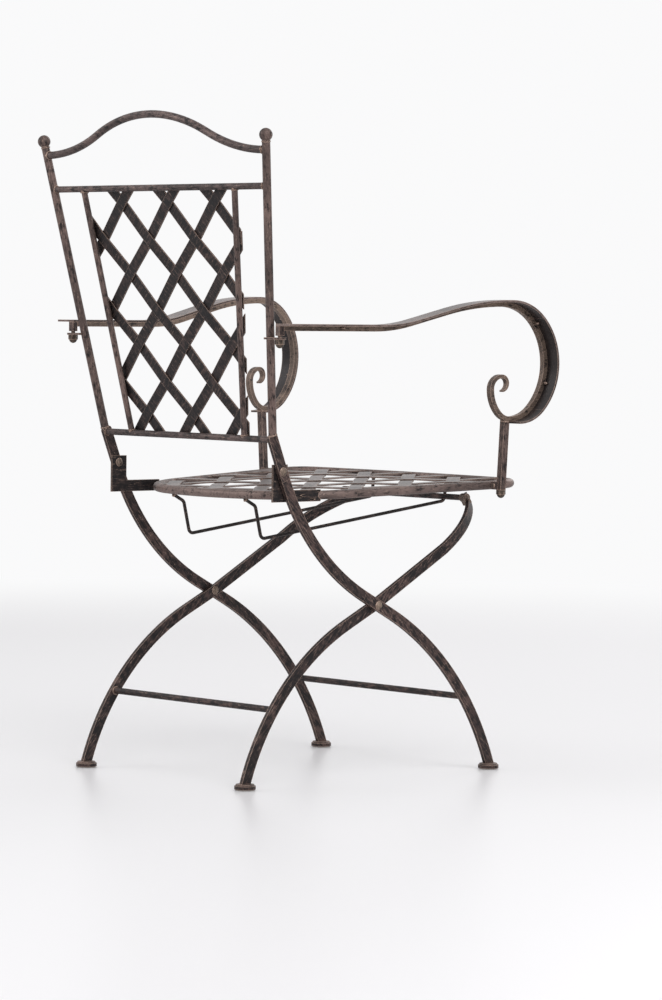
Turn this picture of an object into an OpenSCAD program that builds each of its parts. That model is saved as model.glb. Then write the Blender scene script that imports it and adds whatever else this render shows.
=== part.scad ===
// Folding wrought-iron armchair for a patio.
// The back and the front legs are one bent frame. The rear legs cross it on two
// rivets, and the woven seat hangs on two more. A cross rod at the top of the rear
// legs runs in two wire guides under the seat, so the chair folds flat.
// The chair faces -Y, and its left and right sides mirror in the plane x = 0.

/* [Legs] */
// Width of the flat leg bar, seen from the side
bar_w = 16; // [12:0.5:20]
// Thickness of the flat leg bar
bar_t = 6; // [4:0.5:7]
// Distance between the middles of the two front leg bars
front_leg_span = 376; // [330:1:420]
// Height of the crossing rivets above the floor
cross_h = 255; // [230:1:280]
// Slope of the front leg bar where the legs cross, in degrees
front_mid_angle = 27.5; // [24:0.5:31]
// Slope of the rear leg bar where the legs cross, in degrees
rear_mid_angle = 26; // [23:0.5:29]
// Straight stretch of the front leg below the crossing
front_low_straight = 30; // [20:1:60]
// Steepness of the front leg at its foot, in degrees
front_foot_angle = 70; // [64:0.5:76]
// Straight stretch of the rear leg below the crossing
rear_low_straight = 62; // [40:1:80]
// Steepness of the rear leg at its foot, in degrees
rear_foot_angle = 72; // [66:0.5:78]
// Straight stretch of the front leg bar above the crossing
front_up_straight = 31; // [20:1:45]
// Bend radius of the front leg bar below the seat
front_up_radius = 335; // [310:1:360]
// Steepness of the front leg bar at the seat, in degrees
front_up_angle = 68; // [65:0.5:72]
// Straight stretch of the front leg bar from its bend to the seat rivet
seat_rivet_up = 14; // [8:1:24]
// Straight stretch of the front leg bar from the seat rivet to the start of the backrest
bar_top_up = 41; // [34:1:50]
// Length of the front leg bar above the lower rail of the backrest
bar_tip_over = 3; // [2:0.5:5]
// Rounding of the front leg bar's top end
bar_tip_r = 4; // [3:0.5:5]
// Slope of the rear leg bar above the crossing, in degrees
rear_up_angle = 29.5; // [28:0.5:31]
// Straight stretch of the rear leg above the crossing
rear_up_straight = 153; // [148:1:158]
// Radius of the upward bend that follows it
rear_up_radius = 150; // [120:1:180]
// Turn of that upward bend, in degrees
rear_up_turn = 4; // [3:0.5:6]
// Radius of the inward bend at the top of the rear leg
rear_top_radius = 158; // [150:1:166]
// Turn of that inward bend, in degrees
rear_top_turn = 54; // [52:0.5:56]
// Diameter of the two stretcher rods
stretcher_d = 9.5; // [7:0.5:11]
// Height of the stretcher rods above the floor
stretcher_h = 112; // [90:1:140]

/* [Feet] */
// Diameter of a foot disc
foot_d = 31; // [26:0.5:36]
// Height of a foot disc
foot_h = 7.5; // [5:0.5:10]
// Diameter of the plastic glide under a foot
glide_d = 27; // [20:0.5:30]
// Thickness of the plastic glide
glide_h = 1.6; // [1:0.1:3]

/* [Rivets] */
// Diameter of the rivets at the crossing and at the seat
rivet_d = 8; // [6:0.5:9]
// Diameter of a rivet head
head_d = 13; // [11:0.5:15]
// Height of a rivet head
head_h = 3.2; // [2:0.1:4]
// Thickness of the washers between turning bars
washer_t = 1; // [0.6:0.1:1.6]
// Diameter of those washers
washer_d = 15; // [12:0.5:16]

/* [Backrest] */
// Diameter of the two stile tubes
stile_d = 12; // [10:0.5:14]
// How far the backrest leans back, in degrees
back_tilt = 9.7; // [6:0.1:13]
// How far each stile leans outwards, in degrees
stile_splay = 8.05; // [5:0.05:9.5]
// How far the stile stands behind the middle of the leg bar
stile_set_back = 3; // [0:0.5:4]
// Length of the backrest from the leg bar to the ball, along its slope
back_len = 444; // [420:1:470]
// Diameter of the ball finials
ball_d = 19; // [16:0.5:24]
// Diameter of the rails
rail_d = 9.5; // [7:0.5:11]
// Place of the lower rail above the leg bar, along the slope
low_rail_s = 8; // [7:0.5:14]
// Place of the upper rail above the leg bar, along the slope
top_rail_s = 372; // [350:1:384]
// Diameter of the inner uprights
upright_d = 9; // [7:0.5:10]
// Distance of an inner upright from the stile at the lower rail
low_gap = 62; // [50:1:72]
// Distance of an inner upright from the stile at the upper rail
top_gap = 70; // [58:1:80]
// Diameter of the arched top tube
arch_d = 11; // [9:0.5:12]
// Place of the arch's ends above the leg bar, along the slope
arch_s = 423; // [408:1:428]
// Rise of the arch from its ends to its top
arch_rise = 56; // [45:1:62]
// Part of the arch's bend that is the crown, the rest being the two ends
crown_share = 0.5; // [0.44:0.01:0.6]

/* [Lattice] */
// Thickness of every woven strip
strip_t = 2; // [1.5:0.1:2.4]
// Width of the strips of the backrest
back_strip_w = 17.5; // [14:0.5:21]
// Spacing of the strips of the backrest, square to them
back_strip_pitch = 74; // [66:0.2:80]
// Sideways place of the middle crossing of the backrest
back_strip_x = -11; // [-20:1:20]
// Distance of the first crossings below the upper rail
back_strip_drop = 23; // [12:1:30]
// Width of the strips of the seat
seat_strip_w = 20; // [16:0.5:24]
// Spacing of the strips of the seat, square to them
seat_strip_pitch = 69.6; // [64:0.2:76]
// Distance of the middle crossing of the seat in front of the seat rivets
seat_strip_ahead = 229.6; // [215:0.2:245]
// Depth of the seat's weave below the top of the rim
strip_sink = 1; // [0.8:0.1:1.6]

/* [Seat] */
// Diameter of the seat's rim tube
rim_d = 13; // [11:0.5:15]
// How far the rim lies below the seat rivets
rim_drop = 38.5; // [36:0.5:40]
// Rise of the seat towards the front, in degrees
seat_tilt = 2.3; // [1.8:0.1:2.6]
// Distance of the rim's rear middle in front of the seat rivets
rim_ahead = 14; // [8:0.5:20]
// How far the rim's sides start outside the middles of the leg bars
rim_side_out = 12.5; // [9:0.5:16]
// Half the angle of that bow, in degrees
rear_bow_angle = 14.5; // [13.9:0.1:15]
// Radius of the rim's rear corners
rear_corner_radius = 130; // [124:1:134]
// Length of the rim's straight sides
side_straight = 251; // [240:1:256]
// How far the sides spread towards the front, in degrees
side_spread = 10.4; // [9:0.1:11]
// Radius of the rim's front corners
front_corner_radius = 36; // [28:1:44]
// Half the angle of the front bow, in degrees
front_bow_angle = 3.5; // [2:0.1:6]
// Thickness of the seat brackets
bracket_t = 3; // [2.5:0.1:4]
// Width of the bracket's upright tab
bracket_tab_w = 28; // [24:0.5:32]
// Height of the bracket's arm
bracket_arm_h = 17; // [14:0.5:20]
// Reach of the bracket's arm in front of the seat rivet
bracket_reach = 78; // [70:1:90]
// Height of the tab above the seat rivet
bracket_top = 10; // [9:0.5:14]
// Distance from the seat rivet down to the bracket's lower edge
bracket_low = 44; // [42:0.5:47]

/* [Guides] */
// Diameter of the guide wires
wire_d = 5; // [4:0.5:6]
// Distance of each guide wire from the middle of the seat
wire_x = 81; // [70:1:88]
// Depth of the guide wire below the rim at its rear corner
wire_rear_drop = 67; // [63:1:72]
// Depth of the guide wire below the rim at its front corner
wire_front_drop = 34; // [31:1:36]
// Distance of the rear corner in front of the seat rivets
wire_rear_ahead = 52; // [49:1:57]
// Lean of the guide wire's rear riser over its lower part
wire_lean = 10; // [7:0.5:13]
// Bend radius of the guide wires
wire_bend = 8; // [6:0.5:10]
// Diameter of the cross rod that slides in the guides
slide_rod_d = 9; // [8:0.5:10]
// Diameter of the eyes at the ends of the cross rod
eye_d = 13; // [11.5:0.5:14]
// Width of those eyes over the top of the leg bar, across the chair
eye_t = 4; // [3:0.5:5]

/* [Arms] */
// Distance of the arm's rear stud outwards from the middle of the stile
arm_out = 24.4; // [22:0.2:27]
// Height of the arm's upper face at the rear
arm_h = 665.5; // [650:0.5:680]
// Width of the upper strip
arm_strip_w = 33; // [26:0.5:36]
// Thickness of the upper strip
arm_strip_t = 3; // [2:0.1:4]
// Width of the bar under the strip
arm_bar_w = 9; // [8:0.5:11]
// Thickness of the bar under the strip
arm_bar_t = 7; // [6:0.5:8]
// Level stretch at the rear of the arm
arm_level = 165; // [150:1:175]
// Bend radius where the arm starts to rise
arm_dip_radius = 260; // [220:1:300]
// Angle of the rise, in degrees
arm_rise_angle = 14; // [11:0.5:15]
// Straight stretch of the rise
arm_rise_len = 70; // [60:1:80]
// Bend radius over the top of the arm
arm_top_radius = 437; // [400:1:460]
// Bend radius of the scroll's upper shoulder
scroll_top_radius = 83; // [78:1:88]
// Bend radius of the scroll's front
scroll_front_radius = 98; // [92:1:102]
// Bend radius of the scroll's foot
scroll_low_radius = 62.5; // [58:0.5:66]
// Bend radius of the bar's curl at its foot
curl_low_radius = 31; // [28:0.5:34]
// Bend radius of the curl's back
curl_radius = 53.5; // [50:0.5:57]
// Bend radius over the top of the curl
curl_top_radius = 22; // [20:0.5:25]
// Bend radius of the curl's inner turn
curl_end_radius = 13; // [12:0.5:15]
// Thickness of the bar at the very end of the curl
curl_tip_t = 2.5; // [2:0.1:4]
// Width of the square post under the scroll
post_w = 10; // [8:0.5:11]
// Place of the post behind the lowest point of the scroll
post_back = 6; // [3:0.5:9]
// How far the post's foot leans in towards the seat
post_lean = 7; // [5:0.5:8]
// Depth of the post's foot below the middle of the rim beside it
post_foot_drop = 6; // [3:0.5:8]

/* [Arm fixings] */
// Width of the square block at the rear end of the arm
block_w = 9; // [8:0.5:10]
// Depth of the block's lower end below the arm's upper face
block_drop = 17; // [15:0.5:19]
// Bare stretch of stud between the block and its tab
stud_neck = 2.4; // [1.5:0.1:4]
// Diameter of the studs
stud_d = 6; // [5:0.5:7]
// Thickness of the tabs that the rear studs pass through
tab_t = 3; // [2.5:0.1:4]
// Width of those tabs
tab_w = 18; // [15:0.5:22]
// Width across the flats of the cap nuts
nut_w = 12.5; // [10:0.5:14]
// Height of the nuts' six-sided part
nut_h = 7; // [4:0.5:8]
// Diameter of the nuts' domes
dome_d = 12; // [10:0.5:12.5]
// Distance from the outer side of the rim to the middle of the post's foot
lug_reach = 16.2; // [14:0.1:18]
// Length of the lug between the post's foot and the rim
lug_l = 12; // [10:0.5:16]
// Height of the lug
lug_h = 12; // [9:0.5:14]
// Diameter of the bolt through the lug
lug_bolt_d = 4; // [3:0.5:4.5]

/* [Fits] */
// Radial clearance of the rivets where bars turn on them
turn_gap = 0.05; // [0.03:0.01:0.08]
// Play along the rivets between bars that turn
side_play = 0.1; // [0.05:0.05:0.2]
// Gap between woven strips where they cross
weave_gap = 0.1; // [0.05:0.01:0.2]
// Gap between parts that pass each other while the chair folds
pass_gap = 0.6; // [0.5:0.1:1]
// Gap at welded and threaded joints, so that pieces stay separate
weld_gap = 0.02; // [0.01:0.01:0.05]

/* [Hidden] */
$fn = 72;
iron = [0.22, 0.19, 0.18];
worn = [0.42, 0.35, 0.28];
gold = [0.62, 0.53, 0.40];
rubber = [0.75, 0.74, 0.72];
cut = 1200;
collar_l = 0.4;
collar_g = 0.04;
tip_step = 2;

// Runs of straight and bent stretches.
// A run is a list of [radius, turn in degrees], or [0, length] for a straight stretch.
// It starts at the origin along +X, lies in the XY plane and turns left when positive.

// Point and heading at the end of the first n stretches
function run_end(segs, n, p = [0, 0], a = 0, i = 0) =
  i == n ? [p[0], p[1], a] :
  let (r = segs[i][0], v = segs[i][1], s = sign(v))
  r == 0 ? run_end(segs, n, p + v * [cos(a), sin(a)], a, i + 1) :
  run_end(segs, n, p + s * r * [sin(a + v) - sin(a), cos(a) - cos(a + v)], a + v, i + 1);

// Stretches that join a list of points, with every corner bent to one radius
function bent(pts, r) =
  let (
    d = [for (i = [0 : len(pts) - 2]) pts[i + 1] - pts[i]],
    a = [for (q = d) atan2(q[1], q[0])],
    t = [for (i = [0 : len(d) - 2]) wrap(a[i + 1] - a[i])],
    c = [for (q = t) r * tan(abs(q) / 2)]
  )
  [for (i = [0 : len(d) - 1]) each concat(
    [[0, norm(d[i]) - (i > 0 ? c[i - 1] : 0) - (i < len(c) ? c[i] : 0)]],
    i < len(t) ? [[r, t[i]]] : []
  )];
function wrap(a) = a > 180 ? a - 360 : a < -180 ? a + 360 : a;

// Bar of rectangular section along a run: h in the plane of the run, w across it
module bar_run(segs, h, w) {
  along_run(segs) {
    translate([-h / 2, -w / 2]) square([h, w]);
    translate([-h / 2 - collar_g, -w / 2 - collar_g]) square([h + 2 * collar_g, w + 2 * collar_g]);
  }
}

// Round rod of diameter d along a run
module rod_run(segs, d) {
  along_run(segs) {
    circle(d = d);
    circle(d = d + 2 * collar_g);
  }
}

// Carries a section, the first child, along a run. Every two stretches stop a hair short
// of each other inside a hairline collar, the second child, so that a run is one solid.
module along_run(segs, i = 0) {
  last = len(segs) - 1;
  r = segs[i][0];
  v = segs[i][1];
  head = i > 0 ? collar_l / 4 : 0;
  tail = i < last ? collar_l / 4 : 0;
  if (r == 0)
    translate([head, 0, 0]) straight_stretch(v - head - tail) children(0);
  else
    bent_stretch(r, v, head, tail) children(0);
  if (i < last)
    stretch_end(r, v) {
      translate([-collar_l / 2, 0, 0]) straight_stretch(collar_l) children(1);
      along_run(segs, i + 1) {
        children(0);
        children(1);
      }
    }
}
module straight_stretch(l) {
  rotate([90, 0, 90]) linear_extrude(l) children();
}
module bent_stretch(r, v, head, tail) {
  a0 = head / r * 180 / PI;
  a1 = tail / r * 180 / PI;
  mirror([0, v < 0 ? 1 : 0, 0])
    translate([0, r, 0]) rotate([0, 0, a0 - 90])
      rotate_extrude(angle = abs(v) - a0 - a1, $fn = 180) translate([r, 0]) children();
}
module stretch_end(r, v) {
  if (r == 0) translate([v, 0, 0]) children();
  else translate([r * sin(abs(v)), sign(v) * r * (1 - cos(v)), 0]) rotate([0, 0, v]) children();
}

// The XY plane stood up as the chair's side plane, seen from +X
module side_plane() { rotate([90, 0, 90]) children(); }
module both() { children(); mirror([1, 0, 0]) children(); }

// Leg runs, worked out from the crossing
front_low_r = (cross_h - foot_h - glide_h - front_low_straight * sin(front_mid_angle))
  / (cos(front_mid_angle) - cos(front_foot_angle));
rear_low_r = (cross_h - foot_h - glide_h - rear_low_straight * sin(rear_mid_angle))
  / (cos(rear_mid_angle) - cos(rear_foot_angle));
front_low_run = [[0, front_low_straight], [front_low_r, front_foot_angle - front_mid_angle]];
rear_low_run = [[0, rear_low_straight], [rear_low_r, rear_foot_angle - rear_mid_angle]];
bar_over = low_rail_s + rail_d / 2 + bar_tip_over;
front_up_run = [
  [0, front_up_straight],
  [front_up_radius, front_up_angle - front_mid_angle],
  [0, seat_rivet_up + bar_top_up + bar_over]
];
rear_up_run = [[0, rear_up_straight], [rear_up_radius, rear_up_turn]];

// Point at the end of a leg run: side is 1 to the rear and -1 to the front
function leg_point(run, n, slope, side, up) =
  let (e = run_end(run, n))
  [side * (e[0] * cos(slope) - e[1] * sin(slope)), cross_h + up * (e[0] * sin(slope) + e[1] * cos(slope))];

front_foot_y0 = leg_point(front_low_run, 2, front_mid_angle, -1, -1)[0];
rear_foot_y0 = leg_point(rear_low_run, 2, rear_mid_angle, 1, -1)[0];
bar_end0 = leg_point(front_up_run, 3, front_mid_angle, 1, 1);
bar_top0 = bar_end0 - bar_over * [cos(front_up_angle), sin(front_up_angle)];
seat_pivot0 = bar_top0 - bar_top_up * [cos(front_up_angle), sin(front_up_angle)];

// Arm run along the outer face of the strip
arm_run = [
  [0, arm_level],
  [arm_dip_radius, arm_rise_angle],
  [0, arm_rise_len],
  [arm_top_radius, -arm_rise_angle],
  [scroll_top_radius, -45],
  [scroll_front_radius, -90],
  [scroll_low_radius, -45]
];
arm_front = run_end(arm_run, 6);
arm_reach = arm_front[0] + scroll_front_radius * (1 - cos(45));
scroll_low = run_end(arm_run, 7);

// Seat rim, worked out from its rear middle round to its front middle. Its sides follow the legs.
rim_turn = 90 - side_spread;
rear_bow_radius = (front_leg_span / 2 + rim_side_out - rear_corner_radius * (sin(rim_turn) - sin(rear_bow_angle)))
  / sin(rear_bow_angle);
rim_rear = [
  [rear_bow_radius, -rear_bow_angle],
  [rear_corner_radius, -(rim_turn - rear_bow_angle)],
  [0, side_straight],
  [front_corner_radius, -(90 + side_spread - front_bow_angle)]
];
rim_side = run_end(rim_rear, 2);

// Depth of the chair, which sets where the crossing lies between its ends
front_leg_x = front_leg_span / 2;
stile_foot_y0 = bar_top0[0] + stile_set_back;
ball_rear_y0 = stile_foot_y0 + back_len * sin(back_tilt) + ball_d / 2;
crown_rear_y0 = stile_foot_y0 + (arch_s + arch_rise) * sin(back_tilt) + arch_d / 2;
arm_y0 = stile_foot_y0 + (arm_h - bar_top0[1]) * tan(back_tilt);
tab_z = arm_h - block_drop - stud_neck - tab_t;
// The tab starts at the middle of the stile, and the arm's rear stud stands off from it
stile_tab_x = stile_x((tab_z - bar_top0[1]) / cos(back_tilt));
arm_rear_x = stile_tab_x + arm_out;
// The arm spreads so far that the foot of its post stands at its distance from the rim
post_x = scroll_low[0] - post_back;
rim_slope = tan(side_spread);
post_out = lug_reach - arm_rear_x + rim_side[0] + rim_d / 2 / cos(side_spread)
  + (rim_side[1] - rim_ahead + seat_pivot0[0] - arm_y0) * rim_slope;
post_p = post_x - post_lean * rim_slope;
post_q = post_lean + post_x * rim_slope;
arm_spread = asin(post_out / norm([post_p, post_q])) + atan2(post_q, post_p);
arm_front_y0 = arm_y0 - arm_reach * cos(arm_spread) - arm_bar_w / 2 * sin(arm_spread);
cross_y = -(max(ball_rear_y0, crown_rear_y0) + arm_front_y0) / 2;

seat_pivot_y = cross_y + seat_pivot0[0];
seat_pivot_z = seat_pivot0[1];
stile_foot_y = cross_y + stile_foot_y0;
stile_foot_z = bar_top0[1];
arm_y = cross_y + arm_y0;

// Places across the chair
front_inner_x = front_leg_x - bar_t / 2;
rear_leg_x = front_inner_x - washer_t - side_play - bar_t / 2;
rear_inner_x = rear_leg_x - bar_t / 2;
bracket_x = front_inner_x - washer_t - side_play - bracket_t;

// Frames of reference
module at_crossing() { translate([0, cross_y, cross_h]) children(); }
module at_seat_pivot() { translate([0, seat_pivot_y, seat_pivot_z]) children(); }
module back_plane() {
  translate([0, stile_foot_y, stile_foot_z]) rotate([90 - back_tilt, 0, 0]) children();
}
module seat_plane() {
  translate([0, seat_pivot_y, seat_pivot_z - rim_drop]) rotate([-seat_tilt, 0, 0]) children();
}
module arm_plane() {
  translate([arm_rear_x, arm_y, arm_h]) rotate([0, 0, arm_spread - 90]) rotate([90, 0, 0]) children();
}

// Backrest
function stile_x(s) = front_leg_x + s * tan(stile_splay);
stile_len = (back_len - ball_d * 0.37) / cos(stile_splay);
module stile_solid(d) {
  translate([front_leg_x, 0, 0]) rotate([-90, 0, -stile_splay]) cylinder(d = d, h = stile_len);
}
// Frame at the top end of the front leg bar, with Y along the bar
module bar_end() { translate([0, cross_y + bar_end0[0], bar_end0[1]]) rotate([front_up_angle, 0, 0]) children(); }
// The stile tube stands on the end of the bar
module stiles() {
  color(iron) both() difference() {
    back_plane() stile_solid(stile_d);
    bar_end() translate([-cut / 2, weld_gap - cut, -cut / 2]) cube([cut, cut, cut]);
  }
}
module ball_finials() {
  centre = back_len / cos(stile_splay);
  seat = centre - stile_len;
  color(worn) back_plane() both()
    translate([stile_x(0), 0, 0]) rotate([-90, 0, -stile_splay]) translate([0, 0, centre])
      rotate_extrude() intersection() {
        circle(d = ball_d);
        translate([0, -seat]) square([ball_d, ball_d + seat]);
      }
}
module cross_rail(s, d) {
  difference() {
    translate([-stile_x(s), s, 0]) rotate([0, 90, 0]) cylinder(d = d, h = 2 * stile_x(s));
    both() stile_solid(stile_d + 2 * weld_gap);
  }
}
module upper_rail() { color(iron) back_plane() cross_rail(top_rail_s, rail_d); }
// The lower rail reaches between the leg bars, just below their top ends
module lower_rail() {
  reach = front_inner_x - weld_gap;
  color(iron) back_plane() translate([-reach, low_rail_s, 0]) rotate([0, 90, 0]) cylinder(d = rail_d, h = 2 * reach);
}

// The arch leaves the stiles level, bends up and turns over its crown
arch_half = stile_x(arch_s);
arch_turn = 2 * atan(arch_rise / arch_half);
arch_bend = arch_half / sin(arch_turn);
crown_r = arch_bend * crown_share;
arch_end_r = arch_bend - crown_r;
module arch_rail() {
  color(worn) back_plane() difference() {
    translate([-arch_half, arch_s, 0])
      rod_run([[arch_end_r, arch_turn], [crown_r, -2 * arch_turn], [arch_end_r, arch_turn]], arch_d);
    both() stile_solid(stile_d + 2 * weld_gap);
  }
}
low_upright_x = stile_x(low_rail_s) - low_gap;
top_upright_x = stile_x(top_rail_s) - top_gap;
module inner_uprights() {
  rise = top_rail_s - low_rail_s;
  run_x = top_upright_x - low_upright_x;
  color(worn) back_plane() difference() {
    both() translate([low_upright_x, low_rail_s, 0]) rotate([-90, 0, -atan(run_x / rise)])
      cylinder(d = upright_d, h = norm([rise, run_x]));
    for (s = [low_rail_s, top_rail_s])
      translate([-cut / 2, s, 0]) rotate([0, 90, 0]) cylinder(d = rail_d + 2 * weld_gap, h = cut);
  }
}

// Woven strips.
// A strip runs along +X and steps over and under the strips that cross it at the places
// in the list xs. The first crossing is over when side is 1, and under when it is -1.
module woven_strip(xs, w, cross_w, side) {
  flat = cross_w / 2 + strip_t;
  lift = (strip_t + weave_gap) / 2;
  path = [for (i = [0 : len(xs) - 1]) each let (h = side * (i % 2 == 0 ? lift : -lift))
    [[xs[i] - flat, h], [xs[i] + flat, h]]];
  top = [for (p = path) [p[0], p[1] + strip_t / 2]];
  low = [for (i = [len(path) - 1 : -1 : 0]) [path[i][0], path[i][1] - strip_t / 2]];
  translate([0, w / 2, 0]) rotate([90, 0, 0]) linear_extrude(w) polygon(concat(top, low));
}
// All strips of one direction. Their places are n * pitch + start on either side. The
// strips of the other direction cross them in the same places, the first and last ones
// included, of which skip are left out at either end.
module strip_set(pitch, start, w, first, last, side, skip = 0) {
  xs = [for (j = [first : last]) -(start + (last + first - j) * pitch)];
  for (k = [first + skip : last - skip])
    rotate([0, 0, -45]) translate([0, start + k * pitch, 0])
      woven_strip(xs, w, w, side * ((k - first) % 2 == 0 ? 1 : -1));
}

// Backrest lattice: it lies on the sitter's side of the rods and ends on them
back_strip_z = upright_d / 2 + strip_t + weave_gap / 2 + weld_gap;
back_cross_s = top_rail_s - back_strip_drop;
module back_window() {
  reach = upright_d * 0.4;
  slope = (top_upright_x - low_upright_x) / (top_rail_s - low_rail_s);
  top_x = top_upright_x + reach * (1 + slope);
  low_x = low_upright_x + reach * (1 - slope);
  linear_extrude(12 * strip_t, center = true) polygon([
    [-low_x, low_rail_s - reach], [low_x, low_rail_s - reach],
    [top_x, top_rail_s + reach], [-top_x, top_rail_s + reach]
  ]);
}
module back_strips(flip) {
  color(iron) back_plane() translate([0, 0, back_strip_z]) intersection() {
    back_window();
    translate([back_strip_x, back_cross_s, 0]) mirror([flip, 0, 0])
      strip_set(back_strip_pitch, 0, back_strip_w, -6, 2, flip == 1 ? 1 : -1);
  }
}
module back_strips_rising() { back_strips(0); }
module back_strips_falling() { back_strips(1); }

// The rim's front bow, which closes it
rim_corner = run_end(rim_rear, 4);
front_bow_radius = rim_corner[0] / sin(front_bow_angle);
rim_half = concat(rim_rear, [[front_bow_radius, -front_bow_angle]]);
rim_front = rim_ahead - run_end(rim_half, 5)[1];
module rim_solid(d) {
  both() translate([0, -rim_ahead, 0]) rod_run(rim_half, d);
}
module seat_rim() { color(worn) seat_plane() rim_solid(rim_d); }

// Outline of half the rim, grown by g
function arc_points(r, v, p, a, g, n) = [for (i = [0 : n - 1]) let (b = a + v * i / n)
  p + r * [sin(a) - sin(b), cos(b) - cos(a)] + g * [-sin(b), cos(b)]];
function rim_points(g) = [for (i = [0 : 4]) each let (
    e = run_end(rim_half, i), r = rim_half[i][0], v = rim_half[i][1], p = [e[0], e[1] - rim_ahead])
  r == 0 ? [p + g * [-sin(e[2]), cos(e[2])]] : arc_points(r, v, p, e[2], g, i == 1 ? 16 : 8)];
module seat_window(g) {
  half = rim_points(g);
  tip = [0, -rim_front - g];
  linear_extrude(12 * strip_t, center = true) polygon(concat(
    half, [tip], [for (i = [len(half) - 1 : -1 : 1]) [-half[i][0], half[i][1]]]));
}
// The strips lie inside the rim and end on the inner side of its tube
seat_strip_z = rim_d / 2 - strip_t - weave_gap / 2 - strip_sink;
seat_strip_start = -seat_strip_ahead / sqrt(2);
module seat_strips(flip) {
  color(worn) seat_plane() difference() {
    translate([0, 0, seat_strip_z]) intersection() {
      seat_window(0);
      mirror([flip, 0, 0])
        strip_set(seat_strip_pitch, seat_strip_start, seat_strip_w, -4, 4, flip == 1 ? 1 : -1, 1);
    }
    rim_solid(rim_d + 2 * weld_gap);
  }
}
module seat_strips_rising() { seat_strips(0); }
module seat_strips_falling() { seat_strips(1); }

// Seat brackets: an upright tab on the seat rivet and an arm welded to the rim
module seat_bracket() {
  at_seat_pivot() side_plane() translate([0, 0, bracket_x]) difference() {
    linear_extrude(bracket_t) union() {
      translate([-bracket_tab_w / 2, -bracket_low]) square([bracket_tab_w, bracket_low + bracket_top]);
      translate([-bracket_reach, -bracket_low]) square([bracket_reach, bracket_arm_h]);
    }
    translate([0, 0, -1]) cylinder(d = rivet_d + 2 * turn_gap, h = bracket_t + 2);
  }
}
// Bend n of the rim: 0 is its rear bow and 1 its rear corner, where the bracket's arm meets it
module rim_bend_solid(n, d) {
  e = run_end(rim_half, n);
  seat_plane() translate([e[0], e[1] - rim_ahead, 0]) rotate([0, 0, e[2]])
    bent_stretch(rim_half[n][0], rim_half[n][1], 0, 0) circle(d = d);
}
module cut_bracket() {
  difference() {
    seat_bracket();
    rim_bend_solid(1, rim_d + 2 * weld_gap);
  }
}
module seat_bracket_left() { color(iron) cut_bracket(); }
module seat_bracket_right() { color(iron) mirror([1, 0, 0]) cut_bracket(); }

// Guide wires: down from the rear of the rim, forwards, and up to its front
wire_rear_y = -rim_ahead - rear_bow_radius + sqrt(pow(rear_bow_radius, 2) - pow(wire_x, 2));
wire_front_y = -rim_front + (front_bow_radius - sqrt(pow(front_bow_radius, 2) - pow(wire_x, 2)));
wire_top = -rim_d / 2 - weld_gap;
wire_pts = [
  [wire_rear_y, wire_top],
  [-wire_rear_ahead + wire_lean, -wire_rear_drop * 0.27],
  [-wire_rear_ahead, -wire_rear_drop],
  [wire_front_y + wire_d * 0.8, -wire_front_drop],
  [wire_front_y, wire_top]
];
// Point inside the corner p, where the stretches a and b meet, at the same distance from both
function inner_corner(p, a, b, off) =
  let (m = [a[1], -a[0]] / norm(a), n = [b[1], -b[0]] / norm(b), det = m[0] * n[1] - m[1] * n[0])
  p + off / det * [n[1] - m[1], m[0] - n[0]];
rod_seat = inner_corner(wire_pts[3], wire_pts[3] - wire_pts[2], wire_pts[4] - wire_pts[3],
  (wire_d + slide_rod_d) / 2 + pass_gap);
rod_y = seat_pivot_y + rod_seat[0] * cos(seat_tilt) + rod_seat[1] * sin(seat_tilt);
rod_z = seat_pivot_z - rim_drop - rod_seat[0] * sin(seat_tilt) + rod_seat[1] * cos(seat_tilt);
module guide_wire() {
  start = wire_pts[1] - wire_pts[0];
  difference() {
    seat_plane() translate([wire_x, 0, 0]) side_plane()
      translate([wire_pts[0][0], wire_pts[0][1], 0]) rotate([0, 0, atan2(start[1], start[0])])
        rod_run(bent(wire_pts, wire_bend), wire_d);
    rim_bend_solid(0, rim_d + 2 * weld_gap);
  }
}
module guide_wire_left() { color(iron) guide_wire(); }
module guide_wire_right() { color(iron) mirror([1, 0, 0]) guide_wire(); }

// Legs
module below(z) { translate([-cut / 2, -cut / 2, z - cut]) cube([cut, cut, cut]); }
module through(x0, x1, y, z, d) {
  translate([x0, y, z]) rotate([0, 90, 0]) cylinder(d = d, h = x1 - x0);
}
function front_bar_x() = [front_inner_x - 1, front_inner_x + bar_t + 1];
function rear_bar_x() = [rear_inner_x - 1, rear_inner_x + bar_t + 1];
module front_leg() {
  b = front_bar_x();
  difference() {
    union() {
      at_crossing() translate([front_leg_x, 0, 0]) side_plane() {
        rotate([0, 0, front_mid_angle]) bar_run(front_up_run, bar_w, bar_t);
        rotate([0, 0, 180 + front_mid_angle])
          bar_run(concat(front_low_run, [[0, foot_h]]), bar_w, bar_t);
      }
    }
    below(foot_h + glide_h);
    bar_tip_cut(1);
    bar_tip_cut(-1);
    through(b[0], b[1], cross_y, cross_h, rivet_d + 2 * weld_gap);
    through(b[0], b[1], seat_pivot_y, seat_pivot_z, rivet_d + 2 * weld_gap);
  }
}
// Takes a corner off the bar's top end, at its rear side for 1 and at its front side for -1
module bar_tip_cut(side) {
  h = bar_w / 2;
  r = bar_tip_r;
  bar_end() mirror([0, 0, side == 1 ? 0 : 1]) translate([front_leg_x - bar_t, 0, 0]) side_plane()
    linear_extrude(2 * bar_t) polygon([
      [r * 0.134, h - r * 1.5], [-r * 0.134, h - r * 0.5], [-r * 0.5, h - r * 0.134],
      [-r * 1.5, h + r * 0.134], [r, h + r], [r, h - r * 1.5]
    ]);
}
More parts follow.
